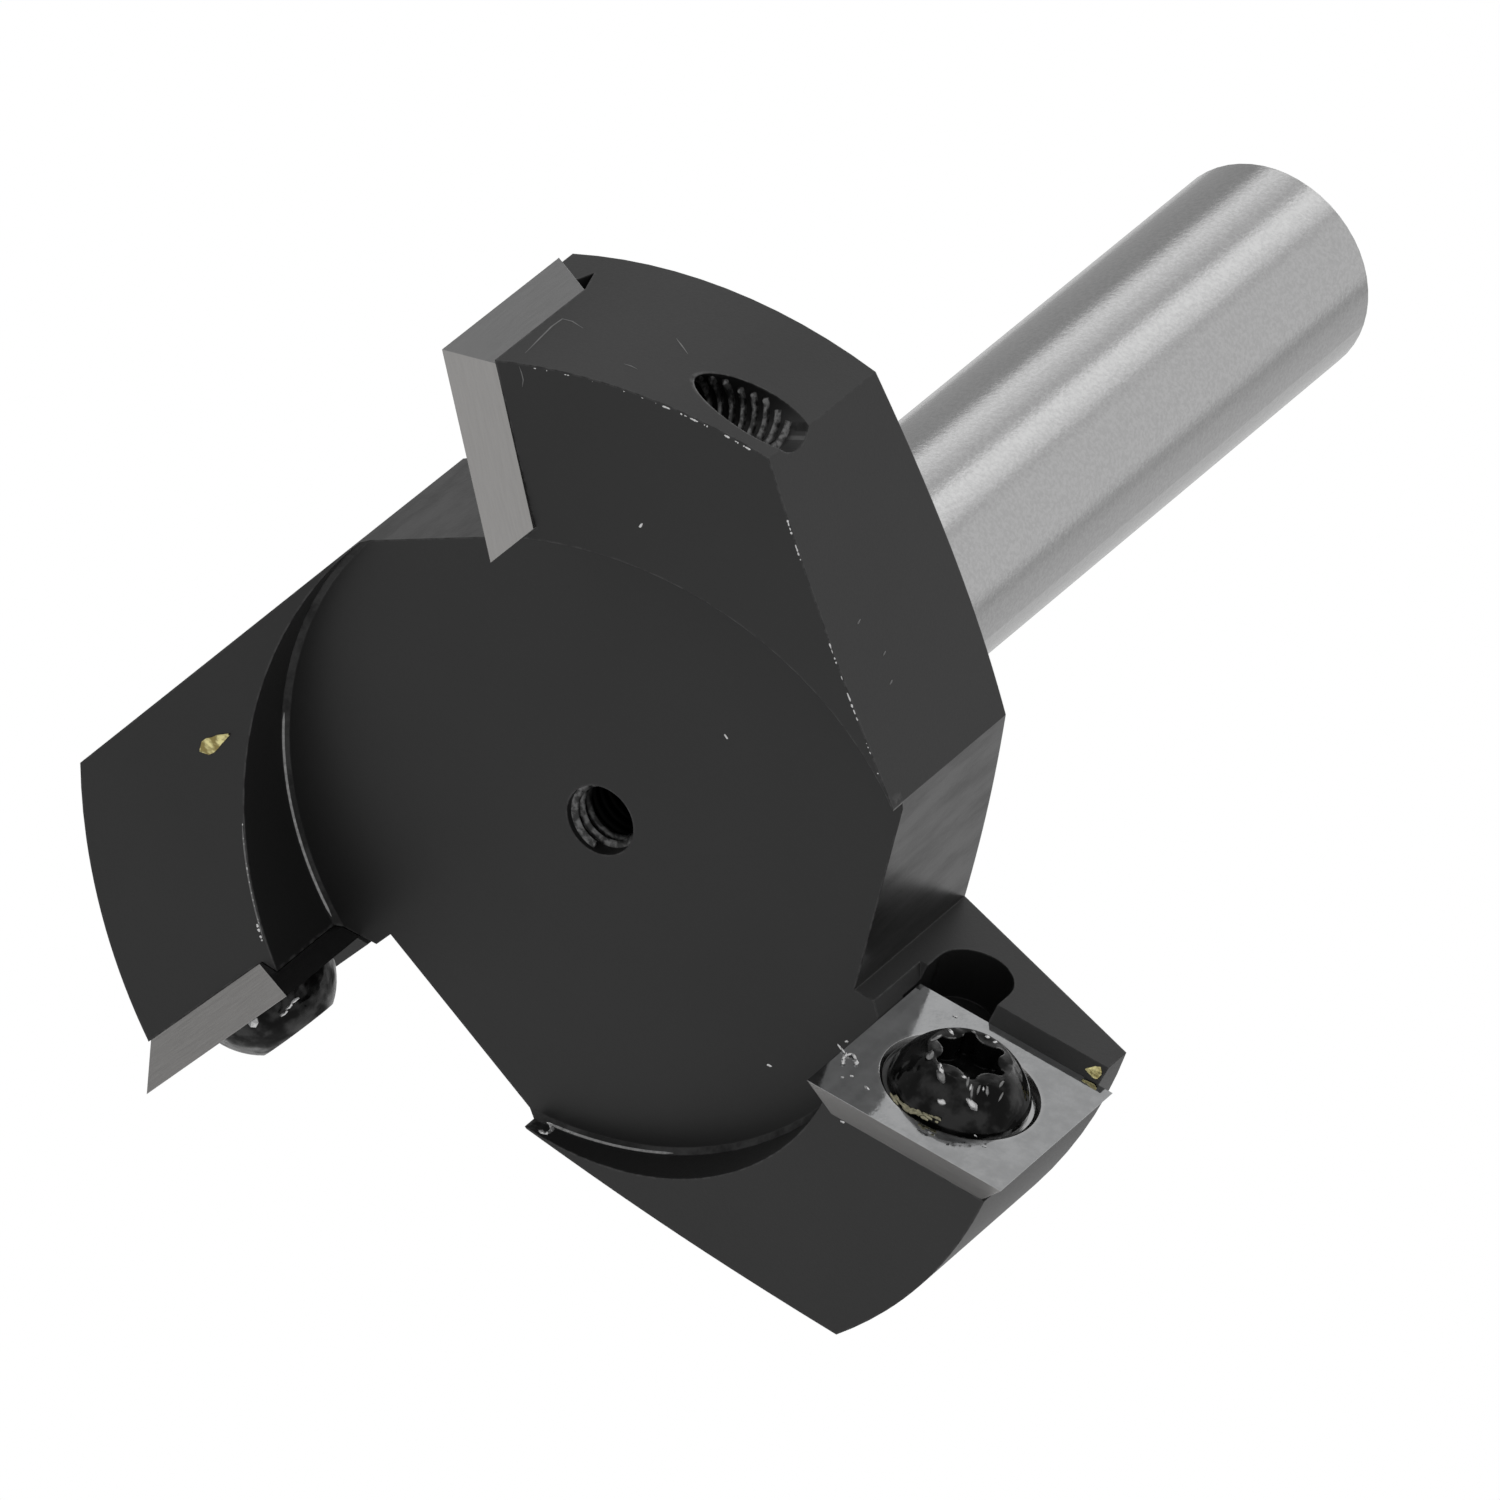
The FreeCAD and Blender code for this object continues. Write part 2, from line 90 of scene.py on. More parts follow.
def at_wing(wing, point=(0, 0, 0)):
    """Turn a place in millimetres on wing 1 into one on another wing, in metres."""
    turn = Matrix.Rotation(math.radians(360 / WINGS * (wing - 1)), 4, "Z")
    return turn @ (Vector(point) * MM)


def make_piece(name, bm, material, smooth=True):
    """Make an object from a bmesh, with its material, riding on the bit."""
    mesh = bpy.data.meshes.new(name)
    bmesh.ops.recalc_face_normals(bm, faces=bm.faces)
    bm.to_mesh(mesh)
    bm.free()
    for face in mesh.polygons:
        face.use_smooth = smooth
    piece = bpy.data.objects.new(name, mesh)
    bpy.context.scene.collection.objects.link(piece)
    mesh.materials.append(material)
    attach(piece, "root")
    return piece


# Node trees

class Tree:
    """Adds nodes to a node tree and links them as they are made."""

    def __init__(self, tree):
        self.tree = tree
        tree.nodes.clear()

    def add(self, kind, sockets=None, **settings):
        node = self.tree.nodes.new(kind)
        for name, setting in settings.items():
            setattr(node, name, setting)
        for name, source in (sockets or {}).items():
            if isinstance(source, bpy.types.NodeSocket):
                self.tree.links.new(source, node.inputs[name])
            else:
                node.inputs[name].default_value = source
        return node

    def math(self, operation, first, second=0.0, third=0.15):
        """Do arithmetic; third is how close COMPARE asks for."""
        sockets = {0: first, 1: second, 2: third}
        return self.add("ShaderNodeMath", sockets, operation=operation).outputs[0]

    def scale(self, value, factor):
        return self.math("MULTIPLY", value, factor)

    def mask(self, value, low, high):
        """Rise smoothly from 0 at low to 1 at high."""
        sockets = {"Value": value, "From Min": low, "From Max": high}
        node = self.add("ShaderNodeMapRange", sockets, interpolation_type="SMOOTHSTEP")
        return node.outputs["Result"]

    def span(self, value, low, high):
        """Stretch a value from 0..1 to low..high."""
        sockets = {"Value": value, "To Min": low, "To Max": high}
        return self.add("ShaderNodeMapRange", sockets).outputs["Result"]

    def blend(self, factor, first, second):
        """Mix two colours."""
        sockets = {0: factor, 6: first, 7: second}
        return self.add("ShaderNodeMix", sockets, data_type="RGBA").outputs[2]

    def blend_number(self, factor, first, second):
        sockets = {0: factor, 2: first, 3: second}
        return self.add("ShaderNodeMix", sockets, data_type="FLOAT").outputs[0]

    def position(self, turn=0.0):
        """The place on the object in millimetres, turned back about Z by an angle."""
        place = self.add("ShaderNodeTexCoord").outputs["Object"]
        sockets = {"Vector": place, "Rotation": (0, 0, -turn), "Scale": (1 / MM,) * 3}
        return self.add("ShaderNodeMapping", sockets).outputs["Vector"]

    def stretch(self, vector, scale):
        return self.add("ShaderNodeMapping", {"Vector": vector, "Scale": scale}).outputs["Vector"]

    def noise(self, vector, scale, detail=2.0, roughness=0.5):
        sockets = {"Vector": vector, "Scale": scale, "Detail": detail, "Roughness": roughness}
        return self.add("ShaderNodeTexNoise", sockets).outputs["Fac"]

    def split(self, vector):
        return self.add("ShaderNodeSeparateXYZ", {"Vector": vector}).outputs

    def soft_edge(self, radius):
        """A normal that rounds the piece's edges by a radius in millimetres."""
        return self.add("ShaderNodeBevel", {"Radius": radius * MM}, samples=4).outputs["Normal"]

    def near_edge(self, reach):
        """A mask that is 1 on outward edges and 0 further away than reach."""
        sockets = {"Distance": reach * MM}
        node = self.add(
            "ShaderNodeAmbientOcclusion", sockets, samples=6, inside=True, only_local=True
        )
        return self.math("SUBTRACT", 1.0, node.outputs["AO"])

    def bump(self, height, strength, depth, normal=None):
        """A bump of that depth in millimetres."""
        sockets = {"Height": height, "Strength": strength, "Distance": depth * MM}
        if normal is not None:
            sockets["Normal"] = normal
        return self.add("ShaderNodeBump", sockets).outputs["Normal"]


def grey(level, warmth=0.0):
    """A near neutral colour."""
    return (level * (1 + warmth), level, level * (1 - warmth), 1.0)


def surface(name, build):
    """Make a material whose shader sockets build(tree) returns."""
    material = bpy.data.materials.new(name)
    material.use_nodes = True
    tree = Tree(material.node_tree)
    shader = tree.add("ShaderNodeBsdfPrincipled", build(tree))
    tree.add("ShaderNodeOutputMaterial", {"Surface": shader.outputs["BSDF"]})
    return material


# Materials

def body_steel(tree):
    """Black oxide on the head, which ends where the bright, finely grained shank begins."""
    place = tree.position()
    height = tree.split(place)["Z"]
    border = tree.math("ADD", height, tree.span(tree.noise(place, 1.5), -0.15, 0.15))
    shank = tree.mask(border, SHANK_FOOT - 0.45, SHANK_FOOT - 0.25)

    blotch = tree.noise(place, 0.12, 3.0)
    grain = tree.noise(place, 6.0, 3.0, 0.6)
    black = tree.blend(blotch, grey(0.010), grey(0.016))
    # Lighter patches along the outward edges: partly wear, partly a painted highlight on the
    # edges.
    edge = tree.near_edge(0.14)
    wear_and_edge_highlight = tree.math("MULTIPLY", edge, tree.mask(tree.noise(place, 1.6, 4.0, 0.7), 0.40, 0.60))
    head = tree.blend(tree.scale(wear_and_edge_highlight, 0.8), black, grey(0.12))
    outward = tree.add("ShaderNodeNewGeometry").outputs["True Normal"]
    slope = tree.math("ABSOLUTE", tree.split(outward)["Z"])
    lip = tree.math("COMPARE", slope, LIP_SLOPE, 0.1)
    lip = tree.math("MULTIPLY", lip, tree.math("LESS_THAN", height, DISH_FLOOR))
    # Lighter patches on the chamfer round the dish: partly rubbed steel, partly a painted
    # highlight along the lip.
    rubbed_and_highlight = tree.math("MULTIPLY", lip, tree.mask(tree.noise(place, 0.35, 4.0, 0.7), 0.35, 0.60))
    head = tree.blend(rubbed_and_highlight, head, grey(0.05))

    streak = tree.noise(tree.stretch(place, (1, 1, 0.08)), 2.5, 3.0)
    bright = tree.blend(streak, grey(0.4055), grey(0.438))
    peel = tree.mask(tree.noise(place, 4.0, 3.0, 0.7), 0.38, 0.62)
    bright = tree.blend(tree.scale(peel, 0.6), bright, grey(0.503))
    colour = tree.blend(shank, head, bright)

    # Only the gullets' walls lie in planes that far from the axis.
    plane = tree.add("ShaderNodeVectorMath", {0: place, 1: outward}, operation="DOT_PRODUCT")
    milled = tree.math("COMPARE", plane.outputs["Value"], GULLET_WALL, 0.8)
    smear = tree.mask(tree.noise(tree.stretch(place, (1, 1, 0.25)), 0.7, 6.0, 0.68), 0.32, 0.68)
    shine = tree.blend_number(milled, 0.30, tree.span(smear, 0.28, 0.66))
    shine = tree.math("SUBTRACT", shine, tree.scale(lip, 0.18))
    head_rough = tree.blend_number(milled, tree.span(grain, 0.36, 0.50), 0.28)
    speckle = tree.noise(place, 3.5, 4.0, 0.65)
    shank_rough = tree.span(speckle, 0.08, 0.22)
    normal = tree.bump(grain, 0.25, 0.02, tree.soft_edge(0.10))
    normal = tree.bump(speckle, tree.span(shank, 0.0, 0.6), 0.022, normal)
    return {
        "Base Color": colour,
        "Metallic": shank,
        "Roughness": tree.blend_number(shank, head_rough, shank_rough),
        "Specular IOR Level": shine,
        "Normal": normal,
    }


def carbide(wing):
    """Ground carbide: a polished rake face, and bevels ground along their edges."""
    turn = math.radians(360 / WINGS * (wing - 1))
    # The upright bevels' tone differs from insert to insert as painted light and shade, for the
    # inserts are alike.
    dull = (0.17, 0.15, 0.16)[wing - 1]

    def build(tree):
        place = tree.position(turn)
        outward = tree.add("ShaderNodeNewGeometry").outputs["True Normal"]
        sockets = {"Vector": outward, "Angle": -turn}
        local = tree.add("ShaderNodeVectorRotate", sockets, rotation_type="Z_AXIS")
        facing_parts = tree.split(local.outputs["Vector"])
        rake = tree.mask(tree.scale(facing_parts["Y"], -1.0), 0.90, 0.97)
        upright = tree.mask(tree.math("ABSOLUTE", facing_parts["X"]), 0.4, 0.6)
        level_lines = tree.noise(tree.stretch(place, (0.06, 1, 1)), 9.0, 3.0, 0.7)
        upright_lines = tree.noise(tree.stretch(place, (1, 1, 0.06)), 9.0, 3.0, 0.7)
        lines = tree.blend_number(upright, level_lines, upright_lines)
        smear = tree.mask(tree.noise(place, 0.7, 4.0, 0.65), 0.30, 0.70)
        scuff = tree.noise(place, 5.0, 3.0, 0.6)
        ground = tree.blend(lines, grey(0.235, 0.02), grey(0.285, 0.02))
        ground = tree.blend(upright, ground, tree.blend(lines, grey(dull), grey(1.2 * dull)))
        polished = tree.blend(smear, grey(0.36, -0.012), grey(0.42, -0.012))
        # The rim of the screw's seat is ground bright, and a dull painted shade fills the gap
        # inside it.
        sockets = {0: tree.stretch(place, (1, 0, 1)), 1: (SCREW_X, 0, SCREW_Z)}
        seat = tree.add("ShaderNodeVectorMath", sockets, operation="DISTANCE").outputs["Value"]
        rim = tree.mask(seat, SEAT_RIM + 0.55, SEAT_RIM + 0.05)
        polished = tree.blend(tree.scale(rim, 0.6), polished, grey(0.58))
        painted_seat_shade = tree.mask(seat, SEAT_RIM + 0.05, SEAT_RIM + 0.02)
        inner = tree.mask(tree.split(place)["X"], SCREW_X + 1.5, SCREW_X - 0.5)
        painted_seat_shade = tree.math("MULTIPLY", painted_seat_shade, inner)
        normal = tree.bump(lines, tree.blend_number(rake, 0.4, 0.0), 0.01, tree.soft_edge(0.04))
        normal = tree.bump(smear, 0.05, 0.02, normal)
        normal = tree.bump(scuff, 0.12, 0.008, normal)
        rough = tree.blend_number(rake, tree.span(lines, 0.16, 0.30), tree.span(smear, 0.01, 0.10))
        return {
            "Base Color": tree.blend(painted_seat_shade, tree.blend(rake, ground, polished), grey(0.12)),
            "Metallic": tree.math("SUBTRACT", 1.0, painted_seat_shade),
            "Roughness": tree.blend_number(painted_seat_shade, rough, 0.7),
            "Normal": normal,
        }

    return build


def screw_steel(tree):
    """Glossy black oxide with dents, a little grease, and bright worn edges that are partly
    painted highlights.
    """
    place = tree.position()
    grease = tree.mask(tree.noise(place, 0.8, 3.0), 0.40, 0.62)
    dents = tree.noise(place, 0.75, 1.5, 0.4)
    # Bright bare metal in patches on the outward edges: partly wear, partly painted highlights on
    # the edges.
    edge = tree.near_edge(0.10)
    rubbed_and_highlight = tree.math("MULTIPLY", edge, tree.mask(tree.noise(place, 1.3, 3.0, 0.6), 0.46, 0.60))
    return {
        "Base Color": tree.blend(rubbed_and_highlight, grey(0.004), grey(0.45)),
        "Metallic": rubbed_and_highlight,
        "Roughness": tree.blend_number(rubbed_and_highlight, tree.span(grease, 0.06, 0.30), 0.25),
        "Specular IOR Level": tree.span(grease, 0.07, 0.30),
        "Normal": tree.bump(dents, 0.9, 0.30, tree.soft_edge(0.12)),
    }


def thread_steel(tree):
    """Thread crests with their black worn thin, and painted shade that darkens them further into
    the centre hole.
    """
    place = tree.position()
    rubbed_and_highlight = tree.noise(place, 3.0, 3.0)
    crest = tree.blend(tree.mask(rubbed_and_highlight, 0.40, 0.65), grey(0.02), grey(0.14))
    painted_depth_shade = tree.mask(tree.split(place)["Z"], DISH_FLOOR + 1.2, DISH_FLOOR + 2.2)
    return {
        "Base Color": tree.blend(painted_depth_shade, crest, grey(0.002)),
        "Metallic": tree.span(painted_depth_shade, 0.5, 1.0),
        "Roughness": tree.span(rubbed_and_highlight, 0.25, 0.40),
        "Normal": tree.bump(rubbed_and_highlight, 0.3, 0.02),
    }


def bare_and_glint_steel(tree):
    """Bright metal where the black is chipped away, also laid on as painted highlights."""
    place = tree.position()
    rough = tree.noise(place, 12.0, 2.0)
    return {
        "Base Color": tree.blend(rough, grey(0.35), grey(0.75)),
        "Metallic": 0.8,
        "Roughness": tree.span(rough, 0.3, 0.5),
    }


def rubbed_and_highlight_steel(tree):
    """Steel where the black is worn thin and dull, laid on as painted highlights along the dish's
    lip and on screw 1's head.
    """
    place = tree.position()
    patch = tree.noise(place, 5.0, 3.0)
    return {
        "Base Color": tree.blend(patch, grey(0.06), grey(0.30)),
        "Metallic": 0.8,
        "Roughness": tree.span(patch, 0.25, 0.5),
    }


def brass(tree):
    """A yellow metal fleck, creased and dull, with painted light and shade in light and dark
    patches.
    """
    place = tree.position()
    crease_light_and_shade = tree.mask(tree.noise(tree.stretch(place, (0.5, 1, 1)), 2.5, 3.0), 0.40, 0.62)
    return {
        "Base Color": tree.blend(crease_light_and_shade, (0.25, 0.20, 0.06, 1), (0.85, 0.78, 0.38, 1)),
        "Metallic": 0.5,
        "Roughness": tree.span(crease_light_and_shade, 0.35, 0.6),
        "Normal": tree.bump(crease_light_and_shade, 0.6, 0.05),
    }


def scratch_grey(tree):
    """A pale line where the black is rubbed through."""
    place = tree.position()
    faint = tree.noise(place, 3.0, 2.0)
    return {
        "Base Color": tree.blend(faint, grey(0.07), grey(0.22)),
        "Roughness": tree.span(faint, 0.4, 0.6),
    }


def wood_dust(tree):
    """Pale yellow crumbs of wood, darkened by grease."""
    place = tree.position()
    greasy = tree.noise(place, 5.0, 3.0)
    return {
        "Base Color": tree.blend(greasy, (0.03, 0.027, 0.015, 1), (0.70, 0.66, 0.44, 1)),
        "Roughness": tree.span(greasy, 0.25, 0.6),
    }


bare_and_glint = surface("bare_and_glint_steel", bare_and_glint_steel)
rubbed_and_highlight = surface("rubbed_and_highlight_steel", rubbed_and_highlight_steel)
scratched = surface("scratch_grey", scratch_grey)
dust = surface("wood_dust", wood_dust)
yellow = surface("brass", brass)
worn_and_shaded_thread = surface("thread_steel", thread_steel)
looks = {"cutter_body": surface("body_steel", body_steel)}
for wing in range(1, WINGS + 1):
    looks["insert_%d" % wing] = surface("carbide_%d" % wing, carbide(wing))
    looks["insert_screw_%d" % wing] = surface("screw_steel_%d" % wing, screw_steel)
for name, material in looks.items():
    node = nodes[name]
    for slot in node.material_slots:
        slot.link = "OBJECT"
        slot.material = material


# Threads

def thread_ridge(bm, centre, along, start, end, keep):
    """Add the crests of an inside thread round a hole, as far as keep(point) holds."""
    steps = 40
    spin = Vector((0, 0, 1)) if abs(along.z) < 0.5 else Vector((1, 0, 0))
    side = along.cross(spin).normalized()
    other = along.cross(side)
    root = THREAD_WALL + 0.02
    # The ridge's corners: how far from the hole's middle, and how many pitches along.
    section = ((root, -0.25), (THREAD_CREST, -0.05), (THREAD_CREST, 0.05), (root, 0.25))
    count = int((end - start) / THREAD_PITCH * steps)
    before = None
    for step in range(count + 1):
        angle = 2 * math.pi * step / steps
        outward = side * math.cos(angle) + other * math.sin(angle)
        base = centre + along * (start + THREAD_PITCH * step / steps)
        corners = [
            base + outward * reach + along * (offset * THREAD_PITCH) for reach, offset in section
        ]
        here = None
        if all(keep(corner) for corner in corners):
            here = [bm.verts.new(corner * MM) for corner in corners]
        if here and before:
            for number in range(len(section) - 1):
                bm.faces.new((before[number], before[number + 1], here[number + 1], here[number]))
        elif here or before:
            bm.faces.new(here or before)
        before = here


def inside_wing(point):
    """Whether a place on a screw hole's thread lies well inside the wing."""
    return point.y < EXIT_LIMIT and math.hypot(point.x, point.y) < HEAD_RADIUS - 0.3


def make_threads():
    """Thread the three screw holes past the screws' tips, and the centre hole."""
    down = Vector((0, 1, 0))
    for wing in range(1, WINGS + 1):
        bm = bmesh.new()
        centre = Vector((SCREW_X, 0, SCREW_Z))
        thread_ridge(bm, centre, down, SCREW_TIP + 0.5, HEAD_RADIUS, inside_wing)
        bm.transform(Matrix.Rotation(math.radians(360 / WINGS * (wing - 1)), 4, "Z"))
        piece = make_piece("exit_thread_%d" % wing, bm, worn_and_shaded_thread)
    bm = bmesh.new()
    mouth = Vector((0, 0, CENTRE_MIDDLE - CENTRE_DEPTH / 2))
    up = Vector((0, 0, 1))
    thread_ridge(bm, mouth, up, 0.45, CENTRE_DEPTH - 0.5, lambda point: True)
    piece = make_piece("centre_thread", bm, worn_and_shaded_thread)


make_threads()


# Marks left by use

def solid_of(*names):
    """A search tree over the faces of CAD nodes."""
    corners = []
    faces = []
    for name in names:
        mesh = nodes[name].data
        first = len(corners)
        corners += [vertex.co for vertex in mesh.vertices]
        faces += [[first + index for index in face.vertices] for face in mesh.polygons]
    return BVHTree.FromPolygons(corners, faces)


skin = solid_of("cutter_body")
screw_skin = solid_of("insert_screw_1")


def touch(wing, point, direction, solid=skin):
    """Where a ray from a place on a wing meets a solid, and the outward normal there."""
    start = at_wing(wing, point)
    way = (at_wing(wing, direction) / MM).normalized()
    hit, normal, _, _ = solid.ray_cast(start, way)
    if hit is None:
        raise RuntimeError("no surface is met from %s on wing %d" % (point, wing))
    if normal.dot(way) > 0:
        normal = -normal
    return hit, normal


def beside(wing, angle, height):
    """Where a level ray meets the head's outer surface, at an angle on a wing in degrees."""
    angle = math.radians(angle)
    outward = Vector((math.cos(angle), math.sin(angle), 0))
    return touch(wing, outward * (HEAD_RADIUS + 5) + Vector((0, 0, height)), -outward)


def below(wing, x, y):
    """Where an upright ray meets the underside of the head."""
    return touch(wing, (x, y, UNDER), (0, 0, 1))


def hairline(bm, hits, width, lift=0.01):
    """Lay a strip along places on a surface, just above it and pointed at both ends."""
    rows = []
    last = len(hits) - 1
    for number, (place, normal) in enumerate(hits):
        along = hits[min(number + 1, last)][0] - hits[max(number - 1, 0)][0]
        across = normal.cross(along).normalized() * (width * MM / 2)
        if number in (0, last):
            across *= 0.2
        raised = place + normal * (lift * MM)
        rows.append((bm.verts.new(raised - across), bm.verts.new(raised + across)))
    for (left, right), (next_left, next_right) in zip(rows, rows[1:]):
        bm.faces.new((left, right, next_right, next_left))


def flake(bm, centre, along, normal, length, width, height, rng):
    """Add one irregular chip that lies along a direction on a surface."""
    across = normal.cross(along).normalized()
    along = across.cross(normal).normalized()
    made = bmesh.ops.create_icosphere(bm, subdivisions=1, radius=0.5)
    for vertex in made["verts"]:
        shape = vertex.co.copy()
        jitter = rng.uniform(0.7, 1.25)
        vertex.co = centre + (
            along * (shape.x * length)
            + across * (shape.y * width)
            + normal * (shape.z * height)
        ) * (jitter * MM)


def chips_along(bm, wing, places, count, size, rng, direction=(0, 0, 1)):
    """Scatter chips along a row of places on a wing, met by rays in one direction."""
    for _ in range(count):
        share = rng.uniform(0, len(places) - 1.001)
        number = int(share)
        part = share - number
        first = Vector(places[number])
        second = Vector(places[number + 1])
        hit, normal = touch(wing, first.lerp(second, part), direction)
        along = at_wing(wing, second - first)
        length = size * rng.uniform(0.5, 2.2)
        flake(bm, hit, along, normal, length, size * rng.uniform(0.5, 1.0), size * 0.5, rng)


def rim_places(radius, first, last, steps=12):
    """Places under the head on a circle round the axis, between two angles in degrees."""
    angles = [math.radians(first + (last - first) * step / steps) for step in range(steps + 1)]
    return [(radius * math.cos(angle), radius * math.sin(angle), UNDER) for angle in angles]


def arc_below(wing, radius, first, last, steps=10):
    """Places on the underside along a circle round the axis, between two angles in degrees."""
    return [below(wing, x, y) for x, y, _ in rim_places(radius, first, last, steps)]


def make_chips():
    """Chips along the lower edges, a painted highlight of bright steel along the dish's lip, and
    loose specks of bright steel.
    """
    rng = random.Random(4)
    bm = bmesh.new()
    # The head's outer edge under wing 3, the edge at that wing's back, and the dish's rim.
    edge = HEAD_RADIUS - 0.14
    chips_along(bm, 3, rim_places(edge, 27.0, 37.5), 22, 0.14, rng)
    chips_along(bm, 3, rim_places(edge, 12.0, 27.0), 8, 0.07, rng)
    chips_along(bm, 3, [(19.2, 18.50, UNDER), (16.8, 18.60, UNDER)], 10, 0.15, rng)
    chips_along(bm, 3, [(12.0, 18.77, UNDER), (6.9, 18.95, UNDER)], 18, 0.14, rng)
    chips_along(bm, 3, [(6.0, 19.0, UNDER), (3.6, 19.05, UNDER)], 4, 0.10, rng)
    chips_along(bm, 2, rim_places(DISH_RADIUS + 0.12, 18.5, 36.0), 14, 0.08, rng)
    chips_along(bm, 2, rim_places(DISH_RADIUS + 0.25, 15.5, 18.5), 5, 0.20, rng)
    # A painted highlight of bright steel along the dish's lip on wing 1.
    hairline(bm, arc_below(1, LIP_RADIUS, 78.5, 83.2), 0.10)
    # Wing and place of each loose speck.
    for wing, x, y in (
        (3, 19.2, 10.2),
        (1, 13.1, 8.5),
        (1, 16.9, 5.4),
        (1, 16.8, 4.6),
        (3, 5.0, 9.0),
        (1, 20.1, 4.7),
    ):
        hit, normal = below(wing, x, y)
        flake(bm, hit, at_wing(wing, (1, rng.uniform(-1, 1), 0)), normal, 0.35, 0.16, 0.06, rng)
    piece = make_piece("edge_chips_and_lip_highlight", bm, bare_and_glint, smooth=False)


def make_lips():
    """Strips of dull steel along the chamfer round the dish: painted highlights on a worn lip."""
    bm = bmesh.new()
    hairline(bm, arc_below(1, LIP_RADIUS, 60.0, 83.0, 16), 0.13)
    hairline(bm, arc_below(2, LIP_RADIUS, 12.0, 48.0, 24), 0.13)
    piece = make_piece("lip_highlights", bm, rubbed_and_highlight)


def make_scratches():
    """Pale hairlines and rubbed spots on wing 3, and one line along the edge of wing 2."""
    rng = random.Random(5)
    bm = bmesh.new()
    hairline(bm, arc_below(2, DISH_RADIUS + 0.13, 16.0, 34.0), 0.10)
    for x, z in ((11.75, 7.5), (9.3, 9.0), (7.7, 8.95)):
        hit, normal = touch(3, (x, OUTSIDE, z), (0, -1, 0))
        flake(bm, hit, at_wing(3, (0.3, 0, 1)), normal, 0.40, 0.14, 0.04, rng)
    # Angle in degrees and height of each place on the outer surface.
    for places in (
        ((10.7, 2.6), (10.3, 4.5), (10.0, 6.0), (10.1, 7.0), (11.3, 6.95), (13.1, 6.5)),
        ((21.8, 8.4), (22.9, 8.0), (24.2, 7.5)),
        ((20.2, 4.4), (21.0, 4.45), (21.8, 4.4)),
    ):
        hairline(bm, [beside(3, angle, height) for angle, height in places], 0.09)
    underside = ((28.6, 5.7), (28.2, 5.75), (27.8, 5.75), (27.4, 5.6))
    hairline(bm, [below(3, x, y) for x, y in underside], 0.06)
    piece = make_piece("scratches", bm, scratched)


def leaf(bm, hit, along, length, width, rng):
    """Add a creased fleck, pointed at one end, that lies on a surface."""
    place, normal = hit
    across = normal.cross(along).normalized()
    along = across.cross(normal).normalized()
    steps = 7
    rows = []
    for step in range(steps):
        share = step / (steps - 1)
        half = width / 2 * 1.2 * (0.05 + share) ** 0.8 * (1.02 - share ** 6) ** 0.5
        row = []
        for side in (-1, -0.4, 0.3, 1):
            rise = 0.05 + 0.10 * (1 - side * side) * rng.uniform(0.5, 1.2)
            shift = along * (length * (share - 0.5))
            shift += across * (half * side * rng.uniform(0.85, 1.1))
            row.append(bm.verts.new(place + (shift + normal * rise) * MM))
        rows.append(row)
    for row, after in zip(rows, rows[1:]):
        for number in range(len(row) - 1):
            bm.faces.new((row[number], row[number + 1], after[number + 1], after[number]))


def make_flecks():
    """A brass leaf stuck under wing 2 and a brass crumb in the pocket of wing 1."""
    rng = random.Random(11)
    bm = bmesh.new()
    tip, tail = below(2, 15.83, 15.25), below(2, 13.67, 15.05)
    middle = below(2, 14.75, 15.15)
    leaf(bm, middle, tip[0] - tail[0], 2.1, 0.95, rng)
    wall = touch(1, (28.65, 1.85, 6), (0, 0, 1))
    leaf(bm, wall, at_wing(1, (1, -0.3, 0)), 0.9, 0.75, rng)
    make_piece("brass_flecks", bm, yellow, smooth=False)


def curl(bm, wing, places, length, width, rng):
    """Lay pieces end to end along places on a wing."""
    outward = at_wing(wing, (0, -1, -0.3)).normalized()
    for first, second in zip(places, places[1:]):
        first, second = at_wing(wing, first), at_wing(wing, second)
        flake(bm, (first + second) / 2, second - first, outward, length, width, width, rng)


def make_glints():
    """Painted highlights on the head of screw 1: bright ones of bare steel, dull ones of grey
    steel, shaped as dents.
    """
    rng = random.Random(3)
    # Across, height, length, width and slant in degrees of each painted highlight, shaped as a
    # dent.
    bright = (
        (22.35, 6.95, 0.60, 0.28, -30),
        (24.80, 4.15, 0.35, 0.28, 0),
        (23.62, 3.72, 0.80, 0.26, -50),
        (23.40, 4.02, 0.40, 0.20, -40),
        (24.55, 2.70, 0.50, 0.34, 20),
        (25.95, 3.48, 1.00, 0.42, -25),
        (25.42, 3.86, 0.45, 0.14, -60),
        (25.95, 4.30, 0.35, 0.14, -50),
        (23.95, 8.10, 0.35, 0.26, 10),
        (24.45, 8.05, 0.30, 0.24, 10),
    )
    dull = (
        (22.55, 4.30, 0.80, 0.55, -70),
        (23.80, 3.50, 1.10, 0.60, -50),
        (25.15, 3.95, 0.80, 0.20, -60),
        (25.60, 3.75, 0.90, 0.22, -55),
        (25.80, 4.05, 0.70, 0.20, -60),
        (26.15, 4.40, 0.60, 0.20, -45),
        (26.45, 5.35, 0.60, 0.22, -70),
        (26.80, 4.90, 0.70, 0.16, -60),
        (23.20, 7.90, 0.35, 0.20, 0),
        (22.05, 5.90, 1.10, 0.30, 80),
    )
    for name, dents, material in (("glints", bright, bare_and_glint), ("dull_glints", dull, rubbed_and_highlight)):
        bm = bmesh.new()
        for x, z, length, width, slant in dents:
            hit, normal = touch(1, (x, -OUTSIDE, z), (0, 1, 0), screw_skin)
            slant = math.radians(slant)
            along = at_wing(1, (math.cos(slant), 0, math.sin(slant)))
            flake(bm, hit, along, normal, length, width, 0.14, rng)
        piece = make_piece("screw_" + name, bm, material)


